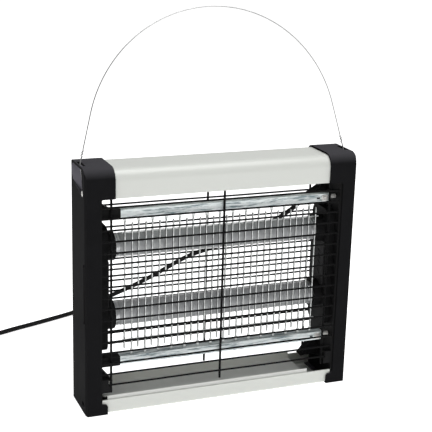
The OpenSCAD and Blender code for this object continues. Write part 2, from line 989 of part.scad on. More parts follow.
// a round-headed cross screw with its head towards +X
module cheek_screw(x_seat, y, z, grip) {
    difference() {
        union() {
            rod_x(x_seat, x_seat + screw_head_h * 0.6, y, z, screw_head_d);
            rod_x(x_seat, x_seat + screw_head_h * 0.85, y, z, screw_head_d - 2);
            rod_x(x_seat - grip, x_seat, y, z, screw_shank_d);
        }
        translate([x_seat + 0.8, y - 0.45, z - 1.8])
            cube([2, 0.9, 3.6]);
        translate([x_seat + 0.8, y - 1.8, z - 0.45])
            cube([2, 3.6, 0.9]);
    }
}

module wire_screws() {
    seat = bail_x + bail_wire / 2 + 0.1;
    color("#d0d2d3")
        for (s = [0, 1])
            mirror([s, 0, 0])
                cheek_screw(seat, wire_screw_y, wire_screw_z, seat - half_w + fan_depth + 1.5);
}

module foot_screws() {
    color("#d0d2d3")
        for (s = [0, 1])
            mirror([s, 0, 0])
                cheek_screw(half_w - screw_depth, foot_screw_y, foot_screw_z, 5.5);
}

// laminated choke for one lamp, with its foot plate and winding
module ballast(x) {
    translate([x - choke_len / 2, -13, parts_z])
        cube([choke_len, 26, 4]);
    translate([x - 0.38 * choke_len, -11, parts_z + 4])
        cube([0.76 * choke_len, 22, 15]);
    translate([x - 0.26 * choke_len, -12.5, parts_z + 6])
        cube([0.52 * choke_len, 25, 11]);
}

module left_ballast() {
    color("#8c6a3a")
        ballast(choke_x[0]);
}

module right_ballast() {
    color("#8c6a3a")
        ballast(choke_x[1]);
}

module hv_transformer() {
    color("#5f5f63") {
        translate([coil_box_x - 16, -14, parts_z])
            cube([32, 28, 20]);
        rod_z(coil_box_x, 0, parts_z + 19, parts_z + 22, 12);
    }
}

// the two glow starters, lying in the housing
module starters() {
    color("#e6e6e2")
        for (y = [-11.5, 11.5]) {
            rod_x(coil_box_x + 19, coil_box_x + 45, y, parts_z + 11, 19);
            rod_x(coil_box_x + 45, coil_box_x + 48, y, parts_z + 11, 12);
        }
}

module circuit_board() {
    color("#3f6f46") {
        translate([board_x - 5, -18, parts_z + board_rise])
            cube([10, 36, board_t]);
        for (y = [-15, 15])
            rod_z(board_x, y, parts_z, parts_z + board_rise + 0.1, 4);
    }
}

module board_parts() {
    z = parts_z + board_rise + board_t;
    color("#b4582a")
        for (y = [-9, 0, 9])
            rod_z(board_x, y, z, z + 9, 7);
}

module terminal_block() {
    x = cap_x - 13;
    color("#ece9df")
        difference() {
            translate([x - 5, -15, parts_z])
                cube([10, 30, 12]);
            for (y = [-10, 0, 10])
                rod_z(x, y, parts_z + 8, parts_z + 13, 4);
        }
}

// a wire of straight runs between corner points
module wire_run(points, d) {
    for (i = [0 : len(points) - 2]) {
        v = points[i + 1] - points[i];
        translate(points[i])
            rotate([0, acos(v[2] / norm(v)), atan2(v[1], v[0])])
                cylinder(d = d, h = norm(v));
        translate(points[i + 1])
            sphere(d = d + joint_extra);
    }
}

// leads inside the right cheek, from the housing down to the studs and sockets
module wiring($fn = 16) {
    x = leg_x + 3.5;
    top = cap_z + 10;
    lead_y = [12, 8];
    feed_y = [-3, 2];
    color("#b33a32")
        for (k = [0, 1]) {
            wire_run([[cap_x - 2, lead_y[k], top], [x, lead_y[k], top],
                [x, lead_y[k], lamp_z[k] + 4], [base_x + 3, lead_y[k] - 3, lamp_z[k] + 4]], 2.2);
            wire_run([[cap_x - 2, feed_y[k], top], [x, feed_y[k], top],
                [x, feed_y[k], stud_heights[k] + 3], [x, grid_y, stud_heights[k] + 3]], 2.6);
        }
}

// tapered sleeve that the cord leaves the right cheek through
module strain_relief() {
    color("#161616")
        translate([exit_x, 0, exit_z])
            rotate([-90, 0, 0])
                difference() {
                    union() {
                        translate([0, 0, half_d])
                            cylinder(r1 = gland_r0, r2 = gland_r1, h = gland_len);
                        translate([0, 0, half_d - cheek_wall - 1.5])
                            cylinder(r = gland_hole_r - 0.05, h = cheek_wall + 1.6);
                        translate([0, 0, half_d - cheek_wall - 2.5])
                            cylinder(r = gland_flange_r, h = 2.4);
                    }
                    translate([0, 0, half_d - 10])
                        cylinder(r = cord_r + 0.05, h = 10 + gland_len - cord_grip);
                    translate([0, 0, half_d + gland_len - cord_grip - 1])
                        cylinder(r = cord_r + 0.05, h = cord_grip + 2);
                }
}

function unit(v) = v / norm(v);

// points of a smooth line through the given ones, with n steps between each pair
function curve_point(p, i, t) =
    let (last = len(p) - 1, a = p[max(i - 1, 0)], b = p[i], c = p[i + 1], d = p[min(i + 2, last)])
    0.5 * (2 * b + (c - a) * t + (2 * a - 5 * b + 4 * c - d) * t * t
        + (3 * b - a - 3 * c + d) * t * t * t);
function smooth_line(p, n) =
    [for (i = [0 : len(p) - 2], k = [0 : n - 1]) curve_point(p, i, k / n), p[len(p) - 1]];

// round tube swept along a line that is never upright
module sweep(line, r, sides) {
    last = len(line) - 1;
    rings = [for (i = [0 : last])
        let (t = unit(line[min(i + 1, last)] - line[max(i - 1, 0)]),
            side = unit(cross(t, [0, 0, 1])), up = cross(side, t))
        for (k = [0 : sides - 1])
            line[i] + r * (cos(360 * k / sides) * side + sin(360 * k / sides) * up)];
    walls = [for (i = [0 : last - 1], k = [0 : sides - 1])
        let (a = i * sides + k, b = i * sides + (k + 1) % sides)
        each [[a, b, b + sides], [a, b + sides, a + sides]]];
    ends = [[for (k = [sides - 1 : -1 : 0]) k], [for (k = [0 : sides - 1]) last * sides + k]];
    polyhedron(rings, concat(walls, ends));
}

module cord() {
    color("#131313") {
        sweep(smooth_line(cord_points, 2), cord_r, 8);
        sweep(smooth_line(tail_points, 1), cord_r, 8);
    }
}

module cord_coil() {
    color("#131313")
        translate([coil_x, coil_y, coil_z0])
            rotate_extrude()
                translate([coil_mid_r - coil_half, 0])
                    square([2 * coil_half, coil_z1 - coil_z0]);
}

// band that ties the coil
module cord_tie() {
    g = 0.3;
    h = coil_z1 - coil_z0;
    color("#2c2c2e")
        translate([coil_x, coil_y - coil_mid_r, coil_z0])
            difference() {
                translate([-tie_len / 2, -coil_half - g - tie_t, -tie_t])
                    cube([tie_len, 2 * (coil_half + g + tie_t), h + 2 * tie_t]);
                translate([-tie_len, -coil_half - g, 0])
                    cube([2 * tie_len, 2 * (coil_half + g), h]);
            }
}

// flat two-pin plug
module plug_body() {
    neck = plug_neck_w / 2;
    face = plug_face_w / 2;
    r = 3;
    color("#161616")
        translate([plug_x, plug_y - plug_len, 0])
            difference() {
                linear_extrude(plug_t)
                    polygon([[-face, r], [-face, plug_len * 0.45], [-neck, plug_len - 4],
                        [-neck, plug_len], [neck, plug_len], [neck, plug_len - 4],
                        [face, plug_len * 0.45], [face, r], [face - r, 0], [r - face, 0]]);
                for (s = [-1, 1])
                    rod_y(s * pin_spread / 2, -1, 8, plug_t / 2, plug_root_d + 0.1);
            }
}

module plug_pins() {
    color("#c8c8c4")
        for (s = [-1, 1]) {
            x = plug_x + s * pin_spread / 2;
            y = plug_y - plug_len;
            rod_y(x, y - plug_pin_len, y, plug_t / 2, plug_pin_d);
            rod_y(x, y, y + 8, plug_t / 2, plug_root_d);
        }
}

left_cheek();
right_cheek();
left_bracket();
right_bracket();
top_housing();
housing_base();
bottom_channel();
tray_supports();
catch_tray();
front_guard();
rear_guard();
front_guard_posts();
rear_guard_posts();
upper_hv_bar();
lower_hv_bar();
upper_rods();
lower_rods();
upper_insulator();
lower_insulator();
terminal_screws();
terminal_studs();
socket_upper_left();
socket_upper_right();
socket_lower_left();
socket_lower_right();
rotor_upper_left();
rotor_upper_right();
rotor_lower_left();
rotor_lower_right();
upper_tube();
lower_tube();
upper_lamp_caps();
lower_lamp_caps();
upper_lamp_pins();
lower_lamp_pins();
left_vent_panel();
right_vent_panel();
hanging_wire();
wire_screws();
foot_screws();
left_ballast();
right_ballast();
hv_transformer();
starters();
circuit_board();
board_parts();
terminal_block();
wiring();
strain_relief();
cord();
cord_coil();
cord_tie();
plug_body();
plug_pins();
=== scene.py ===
import json
import math
import random
import bpy
import bmesh
from mathutils import Matrix, Vector


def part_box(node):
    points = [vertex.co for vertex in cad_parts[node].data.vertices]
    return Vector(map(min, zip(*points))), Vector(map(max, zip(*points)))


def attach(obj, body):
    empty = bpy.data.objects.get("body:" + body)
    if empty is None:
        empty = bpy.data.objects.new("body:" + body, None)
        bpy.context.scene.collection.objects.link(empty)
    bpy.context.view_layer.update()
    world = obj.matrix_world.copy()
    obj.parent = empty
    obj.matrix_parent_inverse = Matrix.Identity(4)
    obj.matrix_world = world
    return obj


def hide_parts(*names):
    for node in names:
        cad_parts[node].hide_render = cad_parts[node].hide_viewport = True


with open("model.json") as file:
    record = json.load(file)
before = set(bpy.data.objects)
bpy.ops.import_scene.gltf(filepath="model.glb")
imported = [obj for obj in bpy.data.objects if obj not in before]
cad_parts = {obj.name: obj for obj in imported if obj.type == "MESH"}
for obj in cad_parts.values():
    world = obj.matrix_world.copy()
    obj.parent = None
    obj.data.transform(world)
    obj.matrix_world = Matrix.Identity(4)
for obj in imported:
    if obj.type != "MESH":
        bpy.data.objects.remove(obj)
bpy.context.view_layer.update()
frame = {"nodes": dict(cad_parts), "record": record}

scene = bpy.context.scene
mm = 0.001
random.seed(7)


# a shader socket that does its own arithmetic
class Val:
    def __init__(self, look, socket):
        self.look = look
        self.socket = socket

    def __add__(self, other):
        return self.look.maths("ADD", self, other)

    def __radd__(self, other):
        return self.look.maths("ADD", other, self)

    def __sub__(self, other):
        return self.look.maths("SUBTRACT", self, other)

    def __rsub__(self, other):
        return self.look.maths("SUBTRACT", other, self)

    def __mul__(self, other):
        return self.look.maths("MULTIPLY", self, other)

    def __rmul__(self, other):
        return self.look.maths("MULTIPLY", other, self)

    def __gt__(self, other):
        return self.look.maths("GREATER_THAN", self, other)

    def __lt__(self, other):
        return self.look.maths("LESS_THAN", self, other)


class Look:
    def __init__(self, name):
        self.material = bpy.data.materials.new(name)
        self.material.use_nodes = True
        self.tree = self.material.node_tree
        self.shader = self.tree.nodes["Principled BSDF"]

    # a node: its settings come first, then the values or links of its sockets
    def node(self, kind, settings=None, sockets=None, out=0):
        made = self.tree.nodes.new(kind)
        for key, value in (settings or {}).items():
            setattr(made, key, value)
        for key, value in (sockets or {}).items():
            self.feed(made.inputs[key], value)
        return Val(self, made.outputs[out])

    def feed(self, socket, value):
        if isinstance(value, Val):
            self.tree.links.new(value.socket, socket)
        elif socket.type == "RGBA":
            socket.default_value = (*value[:3], 1.0)
        else:
            socket.default_value = value

    def maths(self, how, *values):
        return self.node("ShaderNodeMath", {"operation": how}, dict(enumerate(values)))

    def clamp(self, value):
        return self.node("ShaderNodeClamp", None, {"Value": value})

    # sockets 0, 6 and 7 and output 2 are those of the colour form
    def mix(self, mask, first, second):
        return self.node("ShaderNodeMix", {"data_type": "RGBA"}, {0: mask, 6: first, 7: second}, out=2)

    def place(self, stretch=(1, 1, 1)):
        spot = self.node("ShaderNodeTexCoord", out="Object")
        return self.node("ShaderNodeMapping", None, {"Vector": spot, "Scale": stretch})

    def noise(self, scale, detail=3, stretch=(1, 1, 1), roughness=0.55):
        return self.node("ShaderNodeTexNoise", None, {
            "Vector": self.place(stretch), "Scale": scale, "Detail": detail, "Roughness": roughness})

    def axis(self, name):
        spot = self.node("ShaderNodeTexCoord", out="Object")
        return self.node("ShaderNodeSeparateXYZ", None, {"Vector": spot}, out=name)

    def facing(self, name):
        normal = self.node("ShaderNodeNewGeometry", out="Normal")
        return self.node("ShaderNodeSeparateXYZ", None, {"Vector": normal}, out=name)

    def bump(self, height, distance, strength=1.0):
        return self.node("ShaderNodeBump", None,
                         {"Height": height, "Distance": distance, "Strength": strength})

    def surface(self, **inputs):
        for key, value in inputs.items():
            label = "".join(" " + c if c.isupper() else c for c in key).strip().title()
            self.feed(self.shader.inputs[label.replace("Ior", "IOR")], value)
        return self.material


def mouldedBlack(name, tone, gloss, grain=0.00003):
    look = Look(name)
    mottle = look.noise(55, 4)
    fine = look.noise(1700, 2)
    base = look.mix(mottle, (tone * 0.85,) * 3, (tone * 1.15, tone * 1.15, tone * 1.2))
    return look.surface(baseColor=base, roughness=gloss + mottle * 0.1, ior=1.08,
                        normal=look.bump(fine, grain, 0.5))


# settings of the painted reflection on the sloped pocket facets and of the painted top light
cheekSet = {"sideways": 0.93, "upwards": 0.1, "pocketDeep": 0.028, "paintedTopLightFrom": 0.3, "paintedTopLightFade": 1.6}


# black moulding, with painted top light making its top faces paler and a painted reflection lightening the
# sloped facet of each wire pocket
def cheekBlack(name):
    look = Look(name)
    mottle = look.noise(55, 4)
    fine = look.noise(1700, 2)
    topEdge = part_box("right_cheek")[1].z
    # painted reflection: the sloped facet of each wire pocket gets a pale colour in place of the light it
    # would reflect
    rampReflectionMask = look.maths("ABSOLUTE", look.facing("X")) > cheekSet["sideways"]
    rampReflectionMask = rampReflectionMask * (look.facing("Z") > cheekSet["upwards"])
    rampReflectionMask = rampReflectionMask * (look.axis("Z") > topEdge - cheekSet["pocketDeep"])
    base = look.mix(mottle, (0.0085, 0.0085, 0.009), (0.0115, 0.0115, 0.0125))
    base = look.mix(rampReflectionMask, base, (0.13, 0.125, 0.145))
    # painted top light: faces turned upwards get a paler colour, standing in for the stronger light from
    # above
    top = look.clamp((look.facing("Z") - cheekSet["paintedTopLightFrom"]) * cheekSet["paintedTopLightFade"])
    base = look.mix(top, base, (0.05, 0.049, 0.054))
    return look.surface(baseColor=base, roughness=0.44 + mottle * 0.1, ior=1.03,
                        normal=look.bump(fine, 0.00003, 0.5))


def paintedSheet(name, colour):
    look = Look(name)
    broad = look.noise(9, 3)
    peel = look.noise(420, 2)
    dull = tuple(c * 0.97 for c in colour)
    return look.surface(baseColor=look.mix(broad, dull, colour), roughness=0.3 + broad * 0.08,
                        normal=look.bump(peel, 0.00004, 0.35), coatWeight=0.15)


def galvanised(name):
    look = Look(name)
    streak = look.noise(38, 6, (1, 7, 12), 0.68)
    flake = look.noise(120, 4, (0.8, 2.4, 2.4))
    mask = look.clamp((streak - 0.41) * 9)
    tone = look.mix(mask, (0.2, 0.26, 0.28), (0.82, 0.88, 0.88))
    tone = look.mix(look.clamp((flake - 0.5) * 5) * 0.7, tone, (0.93, 0.96, 0.95))
    return look.surface(baseColor=tone, metallic=0.15, roughness=0.3 + streak * 0.25,
                        normal=look.bump(streak + flake * 0.5, 0.00025, 0.6))


# bright on the front and the back, with painted shade making the sides dark
def brightWire(name, colour):
    look = Look(name)
    draw = look.noise(260, 3, (1, 1, 0.12))
    # painted shade: faces turned sideways get a near-black colour in place of the shade on a round rod's
    # edges
    paintedFlankShade = look.clamp((look.maths("ABSOLUTE", look.facing("X")) - 0.42) * 5)
    tone = look.mix(draw, tuple(c * 0.85 for c in colour), colour)
    tone = look.mix(paintedFlankShade, tone, (0.035, 0.04, 0.04))
    return look.surface(baseColor=tone, metallic=0.35, roughness=0.24 + draw * 0.12)


# settings of the painted light on the back wall and of the painted shade line beside the lip
traySet = {"backWall": 0.0047, "lip": 0.0055, "lipShadeFrom": 0.0022, "lipShadeTo": 0.0048}


# sheet of the tray: a back wall painted paler as painted light, a pale lip, and a brown line of painted
# shade beside the lip
def traySheet(name):
    look = Look(name)
    broad = look.noise(14, 4)
    front, back = (corner.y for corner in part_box("catch_tray"))
    across = look.axis("Y")
    tone = look.mix(broad, (0.7, 0.71, 0.67), (0.78, 0.79, 0.75))
    # painted light: the back wall gets a paler colour, standing in for the light that falls on it
    tone = look.mix(across > back - traySet["backWall"], tone, (0.8, 0.8, 0.74))
    tone = look.mix(across < front + traySet["lip"], tone, (0.7, 0.71, 0.68))
    # painted shade and painted reflection: a brown band beside the lip stands in for the shadow under the
    # lip's forward-tilted flange
    lipShadeMask = (across < front + traySet["lipShadeTo"]) * (across > front + traySet["lipShadeFrom"])
    tone = look.mix(lipShadeMask, tone, (0.3, 0.27, 0.2))
    return look.surface(baseColor=tone, roughness=0.32 + broad * 0.1, coatWeight=0.1)


def plainMetal(name, colour, gloss, metal=1.0):
    look = Look(name)
    wear = look.noise(320, 3)
    tone = look.mix(wear, tuple(c * 0.82 for c in colour), colour)
    return look.surface(baseColor=tone, metallic=metal, roughness=gloss + wear * 0.12,
                        normal=look.bump(wear, 0.00004, 0.4))


def plainPlastic(name, colour, gloss=0.45):
    look = Look(name)
    mottle = look.noise(140, 3)
    tone = look.mix(mottle, tuple(c * 0.88 for c in colour), colour)
    return look.surface(baseColor=tone, roughness=gloss + mottle * 0.1,
                        normal=look.bump(mottle, 0.00005, 0.4))


def milkyGlass(name):
    look = Look(name)
    cloud = look.noise(30, 3, (0.3, 1, 1))
    tone = look.mix(cloud, (0.4, 0.41, 0.42), (0.48, 0.49, 0.5))
    return look.surface(baseColor=tone, roughness=0.16 + cloud * 0.05, coatWeight=0.6)


looks = {
    "cheek": cheekBlack("cheekBlack"),
    "inner": mouldedBlack("innerBlack", 0.012, 0.42),
    "socket": mouldedBlack("socketBlack", 0.012, 0.36),
    "white": paintedSheet("housingWhite", (0.62, 0.635, 0.6)),
    "tray": traySheet("traySheet"),
    "dipped": mouldedBlack("dippedWire", 0.009, 0.3, 0.00002),
    "zinc": galvanised("galvanisedBar"),
    "rod": brightWire("gridRod", (0.82, 0.84, 0.83)),
    "spring": plainMetal("springWire", (0.5, 0.5, 0.5), 0.3),
    "screw": plainMetal("screwBright", (0.85, 0.84, 0.81), 0.3, 0.35),
    "brass": plainMetal("pinBrass", (0.7, 0.56, 0.36), 0.28),
    "rotor": plainPlastic("rotorWhite", (0.78, 0.78, 0.74)),
    "glass": milkyGlass("lampGlass"),
    "lampCap": plainMetal("lampCap", (0.66, 0.67, 0.68), 0.3),
    "vent": mouldedBlack("ventGrey", 0.03, 0.5),
    "varnish": plainMetal("ballastVarnish", (0.2, 0.16, 0.12), 0.5, 0.3),
    "potted": plainPlastic("pottedBlock", (0.07, 0.07, 0.08), 0.4),
    "can": plainPlastic("starterCan", (0.78, 0.78, 0.74), 0.4),
    "board": plainPlastic("boardGreen", (0.06, 0.2, 0.08), 0.4),
    "capacitor": plainPlastic("dippedCapacitor", (0.5, 0.16, 0.05), 0.3),
    "terminal": plainPlastic("terminalIvory", (0.8, 0.78, 0.7), 0.45),
    "lead": plainPlastic("leadRed", (0.42, 0.04, 0.035), 0.4),
    "cord": mouldedBlack("cordBlack", 0.011, 0.42, 0.00003),
    "tie": mouldedBlack("tieBlack", 0.03, 0.5),
    "nickel": plainMetal("pinNickel", (0.7, 0.68, 0.64), 0.2),
}
print("looks ready:", len(looks))


# puts a mesh in the scene on its body, in place of the nodes it stands for
def piece(name, mesh, look, body, slot, *nodes):
    obj = bpy.data.objects.new(name, mesh)
    scene.collection.objects.link(obj)
    obj.data.materials.clear()
    obj.data.materials.append(looks[look])
    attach(obj, body)
    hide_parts(*nodes)
    return obj


# a mesh kit, in millimetres
class Shape:
    def __init__(self):
        self.mesh = bmesh.new()

    # joins rings of points and closes both ends
    def rings(self, rings):
        loops = [[self.mesh.verts.new(Vector(p) * mm) for p in ring] for ring in rings]
        count = len(loops[0])
        for a, b in zip(loops, loops[1:]):
            for k in range(count):
                j = (k + 1) % count
                self.mesh.faces.new((a[k], a[j], b[j], b[k]))
        self.mesh.faces.new(loops[0][::-1])
        self.mesh.faces.new(loops[-1])

    # turns a profile of (height, radius) pairs round an axis; dent lowers single points
    def lathe(self, profile, at, axis, steps, dent=None):
        at, ahead = Vector(at), Vector(axis).normalized()
        side = Vector((0, 0, 1)) if abs(ahead.z) < 0.5 else Vector((1, 0, 0))
        up = ahead.cross(side)
        rings = []
        for h, r in profile:
            ring = []
            for k in range(steps):
                c, s = math.cos(math.tau * k / steps), math.sin(math.tau * k / steps)
                drop = dent(r * c, r * s, h) if dent else 0
                ring.append(at + ahead * (h - drop) + (side * c + up * s) * r)
            rings.append(ring)
        self.rings(rings)

    # round tube along a line; radius is a number or a function of the share of the points passed
    def tube(self, line, radius, sides):
        line = [Vector(p) for p in line]
        last = len(line) - 1
        ahead = (line[1] - line[0]).normalized()
        side = ahead.orthogonal().normalized()
        rings = []
        for i, p in enumerate(line):
            ahead = (line[min(i + 1, last)] - line[max(i - 1, 0)]).normalized()
            side = (side - ahead * side.dot(ahead)).normalized()
            up = ahead.cross(side)
            r = radius(i / last) if callable(radius) else radius
            angles = [math.tau * k / sides for k in range(sides)]
            rings.append([p + (side * math.cos(a) + up * math.sin(a)) * r for a in angles])
        self.rings(rings)

    # a rod with rounded ends
    def rod(self, a, b, r, sides):
        a, b = Vector(a), Vector(b)
        ahead = (b - a).normalized()
        far = (b - a).length
        t = min(0.4 * r, far / 4)
        rounded = [(0, r - t), (t * 0.3, r - t * 0.3), (t, r)]
        self.lathe(rounded + [(far - h, q) for h, q in rounded[::-1]], a, ahead, sides)

    def box(self, low, high, roundBy):
        size = [h - l for l, h in zip(low, high)]
        middle = [(l + h) / 2 for l, h in zip(low, high)]
        made = bmesh.ops.create_cube(self.mesh, size=1)["verts"]
        for vert in made:
            vert.co = Vector([(m + c * s) * mm for m, c, s in zip(middle, vert.co, size)])
        edges = list({e for v in made for e in v.link_edges})
        bmesh.ops.bevel(self.mesh, geom=edges, offset=roundBy * mm, segments=2, profile=0.5, affect="EDGES")

    # a weld bead, slightly out of round
    def bead(self, at, size):
        made = bmesh.ops.create_icosphere(self.mesh, subdivisions=2, radius=1)["verts"]
        for vert in made:
            wobble = 1 + random.uniform(-0.08, 0.08)
            vert.co = Vector([(a + c * s * wobble) * mm for a, c, s in zip(at, vert.co, size)])

    def done(self, name, angle=38):
        bmesh.ops.recalc_face_normals(self.mesh, faces=self.mesh.faces)
        data = bpy.data.meshes.new(name)
        self.mesh.to_mesh(data)
        self.mesh.free()
        data.shade_smooth()
        data.set_sharp_from_angle(angle=math.radians(angle))
        return data


def boxOf(node):
    low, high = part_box(node)
    return low / mm, high / mm


def middleOf(node):
    low, high = boxOf(node)
    return (low + high) / 2


# guards: level wires, uprights and the weld beads between them
guardSet = {"wire": 2.0, "upright": 2.5, "rows": 17, "sag": 0.12, "steps": 40, "slim": 0.99,
            "bead": (0.75, 0.6, 0.7), "beadOff": (0.85, 0.1), "beadShare": 0.45}  # share of the wire's side


def makeGuard(name, wireNode, postNode):
    low, high = boxOf(wireNode)
    postLow, postHigh = boxOf(postNode)
    r, postR = guardSet["wire"] / 2, guardSet["upright"] / 2
    y, postY = (low.y + high.y) / 2, (postLow.y + postHigh.y) / 2
    beadY = y * guardSet["beadShare"] + postY * (1 - guardSet["beadShare"])
    offX, offZ = guardSet["beadOff"]
    pitch = (high.z - low.z - 2 * r) / (guardSet["rows"] - 1)
    columns = [postLow.x + postR, 0, postHigh.x - postR]
    wires, posts = Shape(), Shape()
    for row in range(guardSet["rows"]):
        z = high.z - r - row * pitch
        sag = [random.uniform(-guardSet["sag"], guardSet["sag"]) for _ in range(4)]
        line = []
        for k in range(guardSet["steps"] + 1):
            t = k / guardSet["steps"]
            bow = sum(a * math.sin(math.pi * (i + 1) * t) for i, a in enumerate(sag))
            line.append((low.x + (high.x - low.x) * t, y, z + bow))
        wires.tube(line, r * guardSet["slim"], 12)
        for x in columns:
            for turn in (-1, 1):
                posts.bead((x + turn * offX, beadY, z + turn * offZ), guardSet["bead"])
    for x in columns:
        posts.rod((x, postY, postLow.z), (x, postY, postHigh.z), postR * guardSet["slim"], 14)
    piece(name + "Wires", wires.done(name + "Wires"), "dipped", "housing", "black_wire", wireNode)
    piece(name + "Uprights", posts.done(name + "Uprights"), "dipped", "housing", "black_wire", postNode)


makeGuard("frontGuard", "front_guard", "front_guard_posts")
makeGuard("rearGuard", "rear_guard", "rear_guard_posts")
print("guards made")


# grid rods, with flattened tabs on the bars and spot welds on the cross wires
rodSet = {"count": 30, "pitch": 7.4, "shift": 2.1, "rod": 2.0, "cross": 1.6, "tab": 6, "tabWide": 3.0,
          "tabThick": 1.0, "tabRound": 0.3, "gap": 6.5, "crossIn": 11, "lean": 0.15,
          "slim": 0.98, "weld": (1.05, 0.7, 0.8),
          "steps": (0, 0.02, 0.25, 0.5, 0.75, 0.985, 0.996, 1)}


# a rod is drawn in over its last two steps
def rodTaper(t):
    if t < 0.85:
        return rodSet["slim"]
    return 0.9 if t < 0.99 else 0.55


def makeRods(name, node, first, hanging, crossZ):
    low, high = boxOf(node)
    r, c = rodSet["rod"] / 2, rodSet["cross"] / 2
    y = low.y + r if hanging else high.y - r
    crossY = high.y - c if hanging else low.y + c
    root, tip = (high.z, low.z) if hanging else (low.z, high.z)
    sign = -1 if hanging else 1
    neck = root + sign * (rodSet["tab"] - 1)
    half = Vector((rodSet["tabWide"], rodSet["tabThick"], rodSet["tab"])) / 2
    middle = (rodSet["count"] - 1) / 2
    spots = [rodSet["shift"] + (k - middle) * rodSet["pitch"] for k in range(first, rodSet["count"], 2)]
    shape = Shape()
    for x in spots:
        lean = random.uniform(-rodSet["lean"], rodSet["lean"])
        line = [(x + lean * t, y, neck + (tip - neck) * t) for t in rodSet["steps"]]
        shape.tube(line, lambda t: r * rodTaper(t), 12)
        tab = Vector((x, y, root + sign * half.z))
        shape.box(tab - half, tab + half, rodSet["tabRound"])
    shape.rod((low.x, crossY, crossZ), (high.x, crossY, crossZ), c * rodSet["slim"], 10)
    for x in spots:
        shape.bead((x, (y + crossY) / 2, crossZ), rodSet["weld"])
    piece(name, shape.done(name), "rod", "housing", "rods", node)


crossOff = rodSet["gap"] + rodSet["crossIn"]
makeRods("upperRodRow", "upper_rods", 0, True, boxOf("upper_hv_bar")[0].z - crossOff)
makeRods("lowerRodRow", "lower_rods", 1, False, boxOf("lower_hv_bar")[1].z + crossOff)
print("rods made")


# screws: domed heads with a cross recess
screwSet = {"head": 6.5, "high": 1.85, "slot": 0.5, "slotLong": 1.9, "deep": 0.9, "shank": 2.9, "rings": 14}


def crossDent(a, b, h):
    wide, far = screwSet["slot"], screwSet["slotLong"]
    across = (abs(a) < wide and abs(b) < far) or (abs(b) < wide and abs(a) < far)
    return screwSet["deep"] if across and h > 0.5 else 0


def domeProfile(r, high):
    shoulder, crown = 0.42, r * 0.985
    dome = [(0, r * 0.94), (high * 0.18, r), (high * shoulder, crown)]
    for k in range(1, screwSet["rings"] + 1):
        a = k / screwSet["rings"] * math.pi / 2
        dome.append((high * (shoulder + (1 - shoulder) * math.sin(a)), crown * math.cos(a) + 0.03))
    return dome


def makeCheekScrews(name, node, shankLong):
    edge = boxOf(node)[1].x
    _, y, z = middleOf(node)
    shape = Shape()
    dome = domeProfile(screwSet["head"] / 2, screwSet["high"])
    for side in (-1, 1):
        seat = side * (edge - screwSet["high"])
        shape.lathe(dome, (seat, y, z), (side, 0, 0), 56, crossDent)
        shape.rod((seat - side * shankLong, y, z), (seat, y, z), screwSet["shank"] / 2, 14)
    piece(name, shape.done(name, 50), "screw", "housing", "bright_screws", node)


makeCheekScrews("hangerScrews", "wire_screws", 4.5)
makeCheekScrews("footScrews", "foot_screws", 5)

# a square washer under each terminal's head
terminalSet = {"washer": 6.6, "thick": 1, "round": 0.25, "head": 5, "high": 1.6, "shank": 2.4}


def makeTerminals():
    low, high = boxOf("terminal_screws")
    x = (low.x + high.x) / 2
    half, thick = terminalSet["washer"] / 2, terminalSet["thick"]
    y = low.y + terminalSet["high"] + thick
    dome = domeProfile(terminalSet["head"] / 2, terminalSet["high"])
    shape = Shape()
    for z in (low.z + half, high.z - half):
        shape.box((x - half, y - thick, z - half), (x + half, y, z + half), terminalSet["round"])
        shape.lathe(dome, (x, y - thick, z), (0, -1, 0), 48, crossDent)
        shape.rod((x, y - thick / 2, z), (x, high.y, z), terminalSet["shank"] / 2, 12)
    piece("terminalScrews", shape.done("terminalScrews", 50), "screw", "housing", "bright_screws",
          "terminal_screws")


# a grooved spacer between the bar and the inner plate, on a thinner core
studSet = {"grooves": 5, "from": 1.2, "plain": 2, "core": 2.9, "sunk": 1.9, "plate": 2,
           "groove": [(0, 1), (0.25, 0.86), (0.65, 0.86), (0.9, 1)]}


def makeStuds():
    low, high = boxOf("terminal_studs")
    barEnd = boxOf("upper_hv_bar")[1].x
    reach = boxOf("right_bracket")[1].x - studSet["plate"] - barEnd
    y, r = (low.y + high.y) / 2, (high.y - low.y) / 2
    profile = [(0, r * 0.8), (0.3, r)]
    for k in range(studSet["grooves"]):
        at = studSet["from"] + k * (reach - studSet["plain"]) / studSet["grooves"]
        profile += [(at + far, r * share) for far, share in studSet["groove"]]
    profile += [(reach - 0.2, r)]
    shape = Shape()
    for z in (low.z + r, high.z - r):
        shape.lathe(profile, (barEnd, y, z), (1, 0, 0), 24)
        shape.rod((barEnd - studSet["sunk"], y, z), (high.x, y, z), studSet["core"] / 2, 12)
    piece("terminalStuds", shape.done("terminalStuds"), "screw", "housing", "bright_screws",
          "terminal_studs")


makeTerminals()
makeStuds()
print("screws made")


# lamps: glass with drawn-in ends, crimped caps; each pair is a distance and what is off the radius
lampSet = {
    "glassEnd": [(-1.5, 1.4), (-0.3, 0.9), (0.9, 0.35), (2.2, 0.06), (3.4, 0)],
    "glassMiddle": (-60, 0, 60),
    "capRim": [(-0.4, 0.9), (0, 0.25), (0.5, 0.02), (2.2, 0.02), (2.6, 0.35), (3.2, 0.35), (3.6, 0.02)],
    "capEnd": [(0.9, 0.02), (0.25, 0.3), (0, 1.0)],
}


